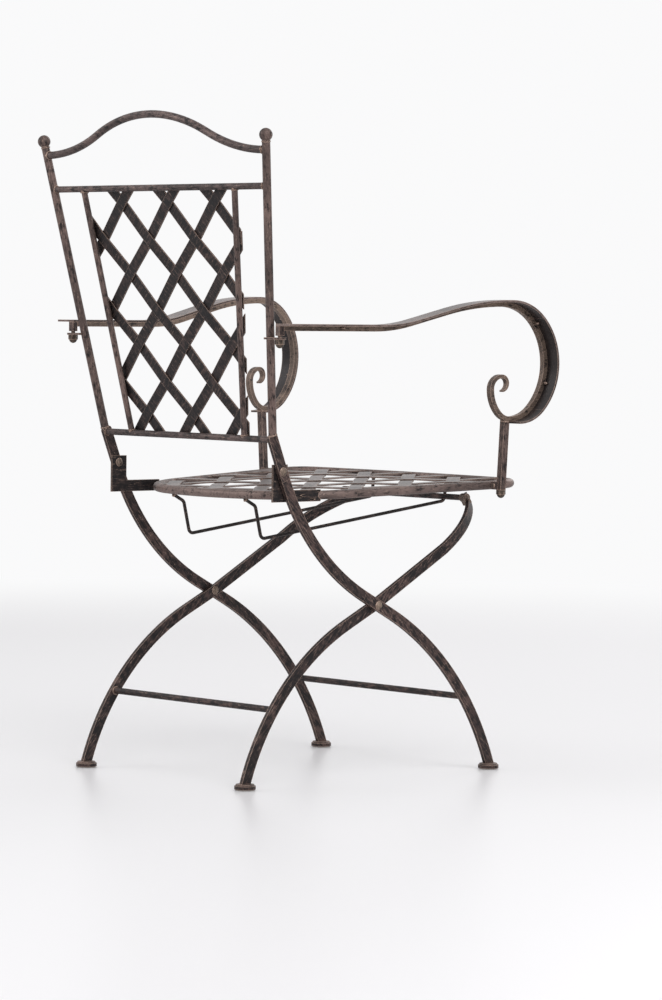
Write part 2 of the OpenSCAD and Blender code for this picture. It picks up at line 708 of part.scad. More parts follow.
// At its top the rear leg bends inwards, in a plane of its own: Y runs up along the bar, X across
// the chair, and Z down from the bar's middle. The bend starts a little inside the bar below it.
top_slope = rear_up_angle + rear_up_turn;
top_start = leg_point(rear_up_run, 2, rear_up_angle, -1, 1);
module top_frame() {
  translate([0, cross_y + top_start[0], top_start[1]]) rotate([180 - top_slope, 0, 0]) children();
}
module top_bend(t, w) {
  top_frame() translate([rear_leg_x, -tip_step, 0]) rotate([0, 0, 90])
    bent_stretch(rear_top_radius, rear_top_turn, 0, 0) translate([-t / 2, -w / 2]) square([t, w]);
}
module rear_leg() {
  b = rear_bar_x();
  difference() {
    union() {
      at_crossing() translate([rear_leg_x, 0, 0]) side_plane() rotate([0, 0, -rear_mid_angle])
        mirror([0, 1, 0]) bar_run(concat(rear_low_run, [[0, foot_h]]), bar_w, bar_t);
      at_crossing() translate([rear_leg_x, 0, 0]) side_plane() rotate([0, 0, 180 - rear_up_angle])
        mirror([0, 1, 0]) bar_run(rear_up_run, bar_w, bar_t - 2 * collar_g);
      top_bend(bar_t - 5 * collar_g, bar_w - 4 * collar_g);
      through(rear_inner_x + 2 * collar_g, rear_inner_x + bar_t - 2 * collar_g, cross_y, cross_h, bar_w - tip_step);
    }
    below(foot_h + glide_h);
    through(b[0], b[1], cross_y, cross_h, rivet_d + 2 * turn_gap);
  }
}
module front_leg_left() { color(iron) front_leg(); }
module front_leg_right() { color(iron) mirror([1, 0, 0]) front_leg(); }
module rear_leg_left() { color(iron) rear_leg(); }
module rear_leg_right() { color(iron) mirror([1, 0, 0]) rear_leg(); }

// Place of a stretcher on the bend of a lower leg
function bend_y(h, low_r, straight, slope) =
  let (drop = cross_h - h - straight * sin(slope), c = cos(slope) - drop / low_r)
  straight * cos(slope) + low_r * (sin(acos(c)) - sin(slope));
front_stretcher_y = cross_y - bend_y(stretcher_h, front_low_r, front_low_straight, front_mid_angle);
rear_stretcher_y = cross_y + bend_y(stretcher_h, rear_low_r, rear_low_straight, rear_mid_angle);
module front_stretcher() {
  color(iron) through(-front_inner_x, front_inner_x, front_stretcher_y, stretcher_h, stretcher_d);
}
module rear_stretcher() {
  color(iron) through(-rear_inner_x, rear_inner_x, rear_stretcher_y, stretcher_h, stretcher_d);
}

// Feet and glides
module foot() {
  translate([0, 0, glide_h]) rotate_extrude() difference() {
    square([foot_d / 2, foot_h]);
    translate([foot_d / 2, foot_h]) circle(r = foot_h * 0.3);
  }
}
front_foot_y = cross_y + front_foot_y0;
rear_foot_y = cross_y + rear_foot_y0;
module front_feet() { color(worn) both() translate([front_leg_x, front_foot_y, 0]) foot(); }
module rear_feet() { color(worn) both() translate([rear_leg_x, rear_foot_y, 0]) foot(); }
module front_glides() {
  color(rubber) both() translate([front_leg_x, front_foot_y, 0]) cylinder(d = glide_d, h = glide_h);
}
module rear_glides() {
  color(rubber) both() translate([rear_leg_x, rear_foot_y, 0]) cylinder(d = glide_d, h = glide_h);
}

// Rivets with domed heads, and their washers
module dome_head(d, h) {
  r = (pow(d / 2, 2) + h * h) / (2 * h);
  intersection() {
    translate([0, 0, h - r]) sphere(r = r);
    cylinder(d = d, h = h);
  }
}
// Rivet along X from x0 to x1, with a head on each end
module rivet(x0, x1, y, z, d) {
  translate([0, y, z]) rotate([0, 90, 0]) union() {
    translate([0, 0, x0 - head_h / 3]) cylinder(d = d, h = x1 - x0 + 2 * head_h / 3);
    translate([0, 0, x1]) dome_head(head_d, head_h);
    translate([0, 0, x0]) mirror([0, 0, 1]) dome_head(head_d, head_h);
  }
}
outer_x = front_leg_x + bar_t / 2;
module crossing_rivets() {
  color(gold) both() rivet(rear_inner_x - side_play, outer_x, cross_y, cross_h, rivet_d);
}
module seat_rivets() {
  color(gold) both() rivet(bracket_x - side_play, outer_x, seat_pivot_y, seat_pivot_z, rivet_d);
}
module washer(y, z) {
  both() difference() {
    through(front_inner_x - washer_t, front_inner_x, y, z, washer_d);
    through(front_inner_x - washer_t - 1, front_inner_x + 1, y, z, rivet_d + 2 * weld_gap);
  }
}
module crossing_washers() { color(worn) washer(cross_y, cross_h); }
module seat_washers() { color(worn) washer(seat_pivot_y, seat_pivot_z); }

// Cross rod in the guides, and the eyes that stand on the bent tops of the rear legs at its ends.
// rod_u and rod_n are its place in the frame of the tops, along the bar and above its middle.
rod_dy = rod_y - cross_y - top_start[0];
rod_dz = rod_z - top_start[1];
rod_u = rod_dz * sin(top_slope) - rod_dy * cos(top_slope);
rod_n = rod_dy * sin(top_slope) + rod_dz * cos(top_slope);
eye_turn = asin((rod_u + tip_step) / rear_top_radius);
eye_x = rear_leg_x - rear_top_radius * (1 - cos(eye_turn));
eye_x0 = eye_x - bar_t / 2 / cos(eye_turn) - slide_rod_d / 2 * tan(eye_turn);
module slide_rod() {
  reach = eye_x0 - pass_gap;
  color(iron) through(-reach, reach, rod_y, rod_z, slide_rod_d);
}
module rod_end_heads() {
  x1 = eye_x + eye_t / 2;
  color(gold) both() difference() {
    top_frame() union() {
      translate([eye_x0, 0, 0]) side_plane() linear_extrude(x1 - eye_x0) union() {
        translate([rod_u - eye_d * 0.37, -rod_n]) square([eye_d * 0.74, rod_n]);
        translate([rod_u, -rod_n]) circle(d = eye_d);
      }
      translate([x1 - eye_t / 8, rod_u, -rod_n]) rotate([0, 90, 0]) dome_head(slide_rod_d, slide_rod_d / 3);
    }
    top_bend(bar_t + 2 * weld_gap, bar_w + 2 * weld_gap);
  }
}

// Arms: a wide strip on the outside of a narrow bar, whose end curls up.
// In the arm's plane X runs forwards from the rear stud, Y is up from the strip's upper
// face, and Z points in towards the seat.
function inner_run(segs, g) = [for (q = segs) q[0] == 0 ? q : [q[1] > 0 ? q[0] + g : q[0] - g, q[1]]];
module arm_strip() {
  run = concat([[0, block_w / 2]], inner_run(arm_run, arm_strip_t / 2));
  arm_plane() translate([-block_w / 2, -arm_strip_t / 2, (arm_bar_w - arm_strip_w) / 2])
    bar_run(run, arm_strip_t, arm_strip_w);
}
module arm_strip_left() { color(worn) arm_strip(); }
module arm_strip_right() { color(worn) mirror([1, 0, 0]) arm_strip(); }

bar_inset = arm_strip_t + weld_gap + arm_bar_t / 2;
curl_end_turn = 170;
curl_segs = [[curl_top_radius, -90], [curl_end_radius, -curl_end_turn]];
curl_total = 90 + curl_end_turn;
curl_step = 5;
// Points on the outer side of the curl, moved in by the share f of the bar's thickness there
function curl_point(a, f) =
  let (
    n = a <= 90 ? 0 : 1,
    e = n == 0 ? [0, 0, 0] : run_end(curl_segs, 1),
    r = curl_segs[n][0],
    b = -(a - n * 90),
    q = run_end([[r, b]], 1, [e[0], e[1]], e[2]),
    t = f * (arm_bar_t + (curl_tip_t - arm_bar_t) * a / curl_total)
  )
  [q[0] + t * sin(q[2]), q[1] - t * cos(q[2])];
module curl() {
  first = collar_l / 4 / curl_top_radius * 180 / PI;
  steps = concat([first], [for (a = [curl_step : curl_step : curl_total]) a]);
  last = len(steps) - 1;
  linear_extrude(arm_bar_w, center = true)
    polygon([for (i = [0 : 2 * last + 1]) i <= last ? curl_point(steps[i], 0) : curl_point(steps[2 * last + 1 - i], 1)]);
}
module arm_bar() {
  start = block_w / 2 + weld_gap;
  level = inner_run(arm_run, bar_inset);
  run = concat([[0, arm_level - start]], [for (i = [1 : 6]) level[i]],
    [[curl_low_radius - arm_bar_t / 2, -45], [curl_radius - arm_bar_t / 2, -45]]);
  e = run_end(run, 9);
  arm_plane() translate([start, -bar_inset, 0]) {
    bar_run(run, arm_bar_t, arm_bar_w);
    translate([e[0], e[1], 0]) rotate([0, 0, e[2]]) {
      translate([0, arm_bar_t / 2, 0]) curl();
      translate([-collar_l / 2, 0, 0]) straight_stretch(collar_l)
        square([arm_bar_t + 2 * collar_g, arm_bar_w + 2 * collar_g], center = true);
    }
  }
}
module arm_bar_left() { color(worn) arm_bar(); }
module arm_bar_right() { color(worn) mirror([1, 0, 0]) arm_bar(); }

// Post from the scroll down to the seat, with the stud of its cap nut
post_top = scroll_low[1] + arm_strip_t + weld_gap;
post_plan = arm_plan(post_x, post_lean);
post_foot_h = seat_pivot_z - rim_drop + (seat_pivot_y - post_plan[1]) * tan(seat_tilt) - post_foot_drop;
post_foot = post_foot_h - arm_h;
module post_shaft() {
  h = post_w / 2;
  arm_plane() difference() {
    translate([post_x - h, 0, 0]) rotate([90, 0, 90]) linear_extrude(post_w)
      polygon([[post_top + h, -h], [post_top + h, h], [post_foot, post_lean + h], [post_foot, post_lean - h]]);
    translate([scroll_low[0], post_top + curl_low_radius, -post_w])
      cylinder(r = curl_low_radius + weld_gap, h = 2 * post_w);
  }
}
module arm_post() {
  post_shaft();
  arm_plane() translate([post_x, post_foot + post_w / 4, post_lean]) rotate([90, 0, 0])
    cylinder(d = stud_d, h = nut_h + post_w / 4);
}
module arm_post_left() { color(worn) arm_post(); }
module arm_post_right() { color(worn) mirror([1, 0, 0]) arm_post(); }

// Point on the floor plan under a point of the arm's plane
function arm_plan(x, z) = [
  arm_rear_x + x * sin(arm_spread) - z * cos(arm_spread),
  arm_y - x * cos(arm_spread) - z * sin(arm_spread)
];

// Cap nut whose upper face lies at the origin
module cap_nut() {
  difference() {
    union() {
      translate([0, 0, -nut_h]) cylinder(d = nut_w / cos(30), h = nut_h, $fn = 6);
      translate([0, 0, -nut_h * 0.9]) mirror([0, 0, 1]) dome_head(dome_d, dome_d * 0.5);
    }
    translate([0, 0, -nut_h]) cylinder(d = stud_d + 2 * weld_gap, h = nut_h + 1);
  }
}
module front_cap_nuts() {
  color(gold) both() translate([post_plan[0], post_plan[1], post_foot_h - weld_gap]) cap_nut();
}

// Lug on the foot of the post: it reaches in to the side of the rim
function rim_outer_x(y) =
  rim_side[0] + (rim_side[1] - rim_ahead + seat_pivot_y - y) * tan(side_spread) + rim_d / 2 / cos(side_spread);
lug_y = post_plan[1];
lug_x0 = rim_outer_x(lug_y - lug_l / 2) + pass_gap;
module arm_front_lugs() {
  color(iron) both() difference() {
    translate([lug_x0, lug_y - lug_l / 2, post_foot_h]) cube([post_plan[0] - lug_x0, lug_l, lug_h]);
    post_grown();
    lug_bolt_shank(2 * weld_gap);
  }
}
// The post with a hair of room on its inner side
module post_grown() {
  translate([-2 * weld_gap, 0, 0]) post_shaft();
  translate([post_w / 2, 0, 0]) post_shaft();
}
lug_bolt_x = (lug_x0 + post_plan[0] - post_w / 2) / 2;
module lug_bolt_shank(g) {
  translate([lug_bolt_x, lug_y + lug_l / 2 + 1, post_foot_h + lug_h / 2]) rotate([90, 0, 0])
    cylinder(d = lug_bolt_d + g, h = lug_l + 2);
}
module lug_bolts() {
  color(gold) both() {
    translate([lug_bolt_x, lug_y + lug_l / 2, post_foot_h + lug_h / 2]) {
      translate([0, lug_bolt_d / 8, 0]) rotate([90, 0, 0]) cylinder(d = lug_bolt_d, h = lug_l + lug_bolt_d / 8);
      rotate([-90, 0, 0]) dome_head(lug_bolt_d * 1.6, lug_bolt_d * 0.45);
    }
  }
}

// Rear fixing of the arm: a block with a stud, a tab on the stile and a cap nut
module arm_rear_blocks() {
  stud_l = stud_neck + tab_t + nut_h;
  color(iron) both() arm_plane() {
    translate([-block_w / 2, -block_drop, -block_w / 2]) cube([block_w, block_drop - arm_strip_t - weld_gap, block_w]);
    translate([0, block_w / 4 - block_drop, 0]) rotate([90, 0, 0]) cylinder(d = stud_d, h = stud_l + block_w / 4);
  }
}
module arm_tabs() {
  color(iron) both() difference() {
    translate([0, arm_y, tab_z]) union() {
      translate([arm_rear_x, 0, 0]) cylinder(d = tab_w, h = tab_t);
      translate([stile_x(0), -tab_w / 2, 0]) cube([arm_rear_x - stile_x(0), tab_w, tab_t]);
    }
    back_plane() stile_solid(stile_d + 2 * weld_gap);
    translate([0, arm_y - cut / 2, 0]) cube([stile_tab_x, cut, cut]);
    translate([arm_rear_x, arm_y, tab_z - 1]) cylinder(d = stud_d + 2 * weld_gap, h = tab_t + 2);
  }
}
module rear_cap_nuts() {
  color(gold) both() translate([arm_rear_x, arm_y, tab_z - weld_gap]) cap_nut();
}

stiles();
ball_finials();
arch_rail();
upper_rail();
lower_rail();
inner_uprights();
back_strips_rising();
back_strips_falling();
front_leg_left();
front_leg_right();
front_stretcher();
front_feet();
front_glides();
rear_leg_left();
rear_leg_right();
rear_stretcher();
rear_feet();
rear_glides();
crossing_rivets();
crossing_washers();
seat_rivets();
seat_washers();
slide_rod();
rod_end_heads();
seat_rim();
seat_strips_rising();
seat_strips_falling();
seat_bracket_left();
seat_bracket_right();
guide_wire_left();
guide_wire_right();
arm_strip_left();
arm_strip_right();
arm_bar_left();
arm_bar_right();
arm_post_left();
arm_post_right();
arm_rear_blocks();
arm_tabs();
arm_front_lugs();
lug_bolts();
rear_cap_nuts();
front_cap_nuts();
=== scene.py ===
"""Looks of a folding wrought-iron armchair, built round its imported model.

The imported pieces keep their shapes. This script rounds their edges, gives every piece its
brushed bronze paint, adds the weld beads and tacks that hold the iron together, and sets the
floor, the light and the camera. Lengths are in metres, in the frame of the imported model:
+Z is up, the sitter faces -Y, and the two sides mirror in the plane x = 0.
"""

import logging
import math
import random
from dataclasses import dataclass, field
from enum import Enum

import bmesh
import bpy
from mathutils import Matrix, Vector


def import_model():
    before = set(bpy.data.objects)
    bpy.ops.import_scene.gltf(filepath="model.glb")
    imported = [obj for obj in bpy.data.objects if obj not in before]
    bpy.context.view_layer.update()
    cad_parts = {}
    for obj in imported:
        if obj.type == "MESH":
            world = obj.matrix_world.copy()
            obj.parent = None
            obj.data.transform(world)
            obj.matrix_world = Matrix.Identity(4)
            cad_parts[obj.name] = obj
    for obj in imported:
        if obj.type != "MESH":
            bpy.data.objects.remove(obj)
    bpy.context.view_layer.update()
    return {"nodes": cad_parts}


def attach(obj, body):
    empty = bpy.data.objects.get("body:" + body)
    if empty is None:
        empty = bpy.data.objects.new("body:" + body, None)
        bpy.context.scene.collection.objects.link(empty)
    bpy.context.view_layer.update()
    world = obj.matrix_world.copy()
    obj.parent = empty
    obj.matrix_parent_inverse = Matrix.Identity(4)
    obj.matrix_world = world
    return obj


LOG = logging.getLogger("armchair")
MM = 0.001
SAME_POINT = 0.002 * MM
SHARP = math.radians(38)
SHADE_WEIGHT = 60

Colour = tuple[float, float, float]
Point = tuple[float, float, float]


# Shader arithmetic


class Signal:
    """A shader socket that takes part in arithmetic, adding a Math node for each step."""

    def __init__(self, graph: "Graph", socket: bpy.types.NodeSocket) -> None:
        """Wraps one output socket.

        Args:
            graph: The graph that the socket belongs to.
            socket: The output socket.
        """
        self.graph = graph
        self.socket = socket

    def __add__(self, other: "Signal | float") -> "Signal":
        """Sum of two values."""
        return self.graph.math("ADD", self, other)

    __radd__ = __add__

    def __sub__(self, other: "Signal | float") -> "Signal":
        """This value less the other."""
        return self.graph.math("SUBTRACT", self, other)

    def __rsub__(self, other: float) -> "Signal":
        """The other value less this one."""
        return self.graph.math("SUBTRACT", other, self)

    def __mul__(self, other: "Signal | float") -> "Signal":
        """Product of two values."""
        return self.graph.math("MULTIPLY", self, other)

    __rmul__ = __mul__

    def capped(self) -> "Signal":
        """This value held between 0 and 1."""
        return self.graph.math("MINIMUM", self.graph.math("MAXIMUM", self, 0.0), 1.0)

    def ramp(self, low: float, high: float) -> "Signal":
        """Smooth step of this value.

        Args:
            low: Value that gives 0.
            high: Value that gives 1.

        Returns:
            The step, from 0 to 1.
        """
        node = self.graph.node(
            "ShaderNodeMapRange",
            {"interpolation_type": "SMOOTHSTEP"},
            {"Value": self, "From Min": low, "From Max": high},
        )
        return self.graph.out(node, "Result")


class Graph:
    """The node tree of one material, with short calls to fill it."""

    def __init__(self, material: bpy.types.Material) -> None:
        """Empties the material's node tree.

        Args:
            material: The material to fill.
        """
        material.use_nodes = True
        self.tree = material.node_tree
        self.tree.nodes.clear()

    def node(
        self, kind: str, settings: dict | None = None, inputs: dict | None = None
    ) -> bpy.types.Node:
        """Adds one node.

        Args:
            kind: Blender's name of the node type.
            settings: Properties of the node, set first.
            inputs: Values or Signals by the socket's name or number.

        Returns:
            The new node.
        """
        node = self.tree.nodes.new(kind)
        for name, value in (settings or {}).items():
            setattr(node, name, value)
        for name, value in (inputs or {}).items():
            if isinstance(value, Signal):
                self.tree.links.new(value.socket, node.inputs[name])
            else:
                node.inputs[name].default_value = value
        return node

    def out(self, node: bpy.types.Node, name: str | int = 0) -> Signal:
        """One output of a node as a Signal."""
        return Signal(self, node.outputs[name])

    def math(self, operation: str, *values: "Signal | float") -> Signal:
        """Adds one Math node.

        Args:
            operation: The node's operation.
            values: Its one, two or three values.

        Returns:
            The node's result.
        """
        return self.out(self.node("ShaderNodeMath", {"operation": operation}, dict(enumerate(values))))

    def dot(self, vector: Signal, other: "Signal | Point") -> Signal:
        """Dot product of two vectors."""
        node = self.node("ShaderNodeVectorMath", {"operation": "DOT_PRODUCT"}, {0: vector, 1: other})
        return self.out(node, "Value")

    def blend(self, share: "Signal | float", first: "Signal | Colour", second: "Signal | Colour") -> Signal:
        """Mixes two colours.

        Args:
            share: Share of the second colour.
            first: The first colour.
            second: The second colour.

        Returns:
            The mixed colour.
        """
        one, two = (c if isinstance(c, Signal) else (*c, 1.0) for c in (first, second))
        node = self.node("ShaderNodeMix", {"data_type": "RGBA"}, {0: share, 6: one, 7: two})
        return self.out(node, 2)

    def noise(self, coords: Signal, scale: float, detail: float = 2.0, rough: float = 0.5) -> Signal:
        """Value of a noise texture.

        Args:
            coords: Where the noise is read.
            scale: Features per unit.
            detail: Octaves.
            rough: How strong the finer octaves are.

        Returns:
            Values round 0.5.
        """
        inputs = {"Vector": coords, "Scale": scale, "Detail": detail, "Roughness": rough}
        return self.out(self.node("ShaderNodeTexNoise", None, inputs), 0)

    def finish(self, shader: Signal) -> None:
        """Leads a shader to the material's surface."""
        self.node("ShaderNodeOutputMaterial", None, {"Surface": shader})


# Finishes


class Brush(Enum):
    """Directions in which the paint was brushed on."""

    ALONG = (0.0, 1.0, 0.0)
    ACROSS = (1.0, 0.0, 0.0)
    UP = (0.0, 0.17, 0.985)
    FRONT_LEG = (0.0, 0.68, 0.733)
    REAR_LEG = (0.0, -0.68, 0.733)
    RISING = (0.707, 0.12, 0.697)
    FALLING = (-0.707, 0.12, 0.697)
    LEFT_DIAGONAL = (0.707, -0.707, 0.0)
    RIGHT_DIAGONAL = (0.707, 0.707, 0.0)


@dataclass(frozen=True)
class BronzePaint:
    """Dark paint with a bronze glaze brushed over it and rubbed through on the edges, with painted shade and
    less rubbing on the faces turned to the middle of a scroll.
    """

    name: str
    brush: Brush
    dark: Colour = (0.010, 0.0080, 0.0088)
    brown: Colour = (0.095, 0.062, 0.056)
    bronze: Colour = (0.38, 0.275, 0.225)
    wear: float = 0.5
    glaze: float = 0.5
    gloss: float = 0.42
    bead_r: float = 1.5 * MM
    # Middle of a scroll, as y and z: faces turned to it get painted shade and less rubbing.
    shade_and_unrubbed_centre: tuple[float, float] | None = None
    stroke_scale: tuple[float, float] = (70.0, 430.0)
    mottle_scale: float = 85.0
    speck_scale: float = 420.0
    patch_scale: float = 11.0
    relief: float = 0.35 * MM

    def material(self) -> bpy.types.Material:
        """Builds the finish as a material.

        Returns:
            The material.
        """
        made = bpy.data.materials.new(self.name)
        g = Graph(made)
        place = g.out(g.node("ShaderNodeTexCoord"), "Object")
        stroke = g.noise(self._stroke_coords(g, place), 1.0, 3.0, 0.6)
        mottle = g.noise(place, self.mottle_scale, 4.0, 0.66)
        speck = g.noise(place, self.speck_scale, 2.0, 0.6)
        patch = g.noise(place, self.patch_scale, 2.0, 0.5)
        edge = self._edge(g)
        unshaded_rubbed_face = self._unshaded_rubbed_face(g, place)
        glaze = (stroke * 0.45 + mottle * 0.55).ramp(0.55 - 0.2 * self.glaze, 0.72 - 0.2 * self.glaze)
        # Painted shade: faces turned to a scroll's middle keep only 12% of the glaze, so they come out near
        # black.
        glaze = glaze * (0.5 + 0.5 * patch.ramp(0.38, 0.60)) * (0.12 + unshaded_rubbed_face * 0.88)
        scuffed = (edge * (0.7 + stroke * 0.8) * (0.45 + mottle * 1.1) * self.wear * 1.9).capped()
        # Faces turned to a scroll's middle keep only 20% of the rubbed streaks: less rubbing there, and
        # painted shade.
        streak = stroke.ramp(0.54, 0.72) * speck.ramp(0.42, 0.64) * (0.2 + unshaded_rubbed_face * 0.8) * self.wear * 0.8
        rubbed = g.math("MAXIMUM", scuffed, streak)
        colour = g.blend(glaze, self.dark, self.brown)
        colour = g.blend(rubbed, colour, self.bronze)
        rough = self.gloss + mottle * 0.16 - glaze * 0.03 + rubbed * 0.06
        height = stroke * 0.5 + speck * 0.35 + mottle * 0.5
        bump = g.node("ShaderNodeBump", None, {"Strength": 0.22, "Distance": self.relief, "Height": height})
        shader = g.node(
            "ShaderNodeBsdfPrincipled",
            None,
            {
                "Base Color": colour,
                "Metallic": (0.18 + rubbed * 0.6 + glaze * 0.25).capped(),
                "Roughness": rough.capped(),
                "Specular IOR Level": 0.26,
                "Normal": g.out(bump),
            },
        )
        g.finish(g.out(shader))
        return made

    def _stroke_coords(self, g: Graph, place: Signal) -> Signal:
        """Coordinates stretched along the brush strokes.

        Args:
            g: The material's graph.
            place: Position on the piece.

        Returns:
            The stretched coordinates.
        """
        way = Vector(self.brush.value).normalized()
        side = way.orthogonal().normalized()
        third = way.cross(side)
        along, across = self.stroke_scale
        parts = {
            "X": g.dot(place, tuple(way)) * along,
            "Y": g.dot(place, tuple(side)) * across,
            "Z": g.dot(place, tuple(third)) * across,
        }
        return g.out(g.node("ShaderNodeCombineXYZ", None, parts))

    def _edge(self, g: Graph) -> Signal:
        """Mask that is 1 on sharp edges and 0 on open faces."""
        soft = g.out(g.node("ShaderNodeBevel", {"samples": 4}, {"Radius": self.bead_r}))
        true = g.out(g.node("ShaderNodeNewGeometry"), "True Normal")
        return (1.0 - g.dot(soft, true)).ramp(0.008, 0.10)

    def _unshaded_rubbed_face(self, g: Graph, place: Signal) -> "Signal | float":
        """Mask that is 0 on faces turned to the middle of a scroll, which get painted shade and less rubbing,
        and 1 on all others.

        Args:
            g: The material's graph.
            place: Position on the piece.

        Returns:
            The mask, or 1 everywhere for pieces without a scroll.
        """
        if self.shade_and_unrubbed_centre is None:
            return 1.0
        normal = g.out(g.node("ShaderNodeNewGeometry"), "True Normal")
        inputs = {0: (0.0, *self.shade_and_unrubbed_centre), 1: place}
        towards = g.out(g.node("ShaderNodeVectorMath", {"operation": "SUBTRACT"}, inputs))
        flat = g.node("ShaderNodeVectorMath", {"operation": "MULTIPLY"}, {0: towards, 1: (0.0, 1.0, 1.0)})
        return 1.0 - g.dot(normal, g.out(flat)).ramp(0.002, 0.012)


@dataclass(frozen=True)
class MattePlastic:
    """Pale plastic of the glides under the feet."""

    name: str
    colour: Colour = (0.56, 0.54, 0.51)
    scuffed: Colour = (0.36, 0.34, 0.32)
    grain_scale: float = 900.0
    dirt_scale: float = 160.0
    relief: float = 0.1 * MM

    def material(self) -> bpy.types.Material:
        """Builds the finish as a material.

        Returns:
            The material.
        """
        made = bpy.data.materials.new(self.name)
        g = Graph(made)
        place = g.out(g.node("ShaderNodeTexCoord"), "Object")
        grain = g.noise(place, self.grain_scale, 2.0)
        dirt = g.noise(place, self.dirt_scale, 4.0, 0.65)
        bump = g.node("ShaderNodeBump", None, {"Strength": 0.15, "Distance": self.relief, "Height": grain})
        shader = g.node(
            "ShaderNodeBsdfPrincipled",
            None,
            {
                "Base Color": g.blend(dirt.ramp(0.48, 0.72), self.colour, self.scuffed),
                "Roughness": 0.5 + grain * 0.2,
                "Normal": g.out(bump),
            },
        )
        g.finish(g.out(shader))
        return made


@dataclass
class PaintShop:
    """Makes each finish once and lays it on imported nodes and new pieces."""

    made: dict[str, bpy.types.Material] = field(default_factory=dict)

    def coat(self, piece: bpy.types.Object, finish: BronzePaint | MattePlastic) -> None:
        """Lays a finish on a piece.

        Args:
            piece: The object to paint.
            finish: The finish.
        """
        if finish.name not in self.made:
            self.made[finish.name] = finish.material()
        if not piece.material_slots:
            piece.data.materials.append(self.made[finish.name])
        for slot in piece.material_slots:
            slot.material = self.made[finish.name]


# Mesh tools


def soften(piece: bpy.types.Object, width: float, segments: int = 2) -> None:
    """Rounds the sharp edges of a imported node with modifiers.

    Args:
        piece: The node's object.
        width: Width of the rounding.
        segments: Steps across it.
    """
    weld = piece.modifiers.new("joined_vertices", "WELD")
    weld.merge_threshold = SAME_POINT
    bevel = piece.modifiers.new("rounded_edges", "BEVEL")
    bevel.width = width
    bevel.segments = segments
    bevel.limit_method = "ANGLE"
    bevel.angle_limit = SHARP
    bevel.use_clamp_overlap = True
    bevel.harden_normals = False
    shade = piece.modifiers.new("even_shading", "WEIGHTED_NORMAL")
    shade.keep_sharp = False
    shade.weight = SHADE_WEIGHT


@dataclass(frozen=True)
class Bead:
    """One weld bead: a rough ring round a rod or bar where it meets another piece."""

    at: Point
    axis: Point
    radius: float
    thick: float = 1.5 * MM
    stretch: tuple[float, float] = (1.0, 1.0)
    arc: tuple[float, float] = (0.0, 360.0)


@dataclass(frozen=True)
class Tack:
    """One small blob of weld metal."""

    at: Point
    size: Point


class WeldMesh:
    """Collects the beads and tacks of one sub-assembly in one mesh."""

    ROUND = 28
    ACROSS = 8
    RIPPLES = ((9, 0.16), (4, 0.12))
    FLATTEN = 0.9
    TAPER_END = 0.35
    SWELL = 0.07

    def __init__(self, name: str, seed: int) -> None:
        """Starts an empty mesh.

        Args:
            name: Name of the piece.
            seed: Seed of its roughness.
        """
        self.name = name
        self.chance = random.Random(seed)
        self.mesh = bmesh.new()

    def bead(self, bead: Bead) -> None:
        """Adds one bead.

        Args:
            bead: The bead.
        """
        axis = Vector(bead.axis).normalized()
        side = Vector((0, 0, 1)) if abs(axis.z) < 0.9 else Vector((0, 1, 0))
        side = (side - axis * side.dot(axis)).normalized()
        other = axis.cross(side)
        closed = bead.arc[1] - bead.arc[0] >= 360.0
        steps = self.ROUND if closed else self.ROUND + 1
        # One phase more than there are ripples is drawn, which sets the roughness of the later parts.
        phases = [self.chance.uniform(0, math.tau) for _ in range(len(self.RIPPLES) + 1)]
        rings = []
        for i in range(steps):
            share = i / self.ROUND
            turn = math.radians(bead.arc[0] + (bead.arc[1] - bead.arc[0]) * share)
            wave = sum(math.sin(n * turn + p) * size for (n, size), p in zip(self.RIPPLES, phases))
            thick = bead.thick * (1 + wave)
            if not closed:
                taper = math.sqrt(max(0.0, math.sin(math.pi * share)))
                thick *= self.TAPER_END + (1 - self.TAPER_END) * taper
            out = side * math.cos(turn) * bead.stretch[0] + other * math.sin(turn) * bead.stretch[1]
            centre = Vector(bead.at) + out * bead.radius
            wide = out.normalized() * thick
            high = axis * thick * self.FLATTEN
            rings.append([
                self.mesh.verts.new(centre + wide * math.cos(a) + high * math.sin(a))
                for a in (math.tau * j / self.ACROSS for j in range(self.ACROSS))
            ])
        for i in range(steps if closed else steps - 1):
            one, two = rings[i], rings[(i + 1) % steps]
            for j in range(self.ACROSS):
                k = (j + 1) % self.ACROSS
                self.mesh.faces.new((one[j], two[j], two[k], one[k]))
        if not closed:
            self.mesh.faces.new(rings[0])
            self.mesh.faces.new(list(reversed(rings[-1])))

    def tack(self, tack: Tack) -> None:
        """Adds one tack.

        Args:
            tack: The tack.
        """
        made = bmesh.ops.create_icosphere(self.mesh, subdivisions=2, radius=1.0)
        for vert in made["verts"]:
            swell = 1 + self.chance.uniform(-self.SWELL, self.SWELL)
            vert.co = Vector(tack.at) + Vector(c * s * swell for c, s in zip(vert.co, tack.size))

    def piece(self) -> bpy.types.Object:
        """Makes the object.

        Returns:
            The new object, linked to the scene.
        """
        bmesh.ops.recalc_face_normals(self.mesh, faces=self.mesh.faces)
        data = bpy.data.meshes.new(self.name)
        self.mesh.to_mesh(data)
        self.mesh.free()
        data.shade_smooth()
        made = bpy.data.objects.new(self.name, data)
        bpy.context.scene.collection.objects.link(made)
        return made


# Sub-assemblies


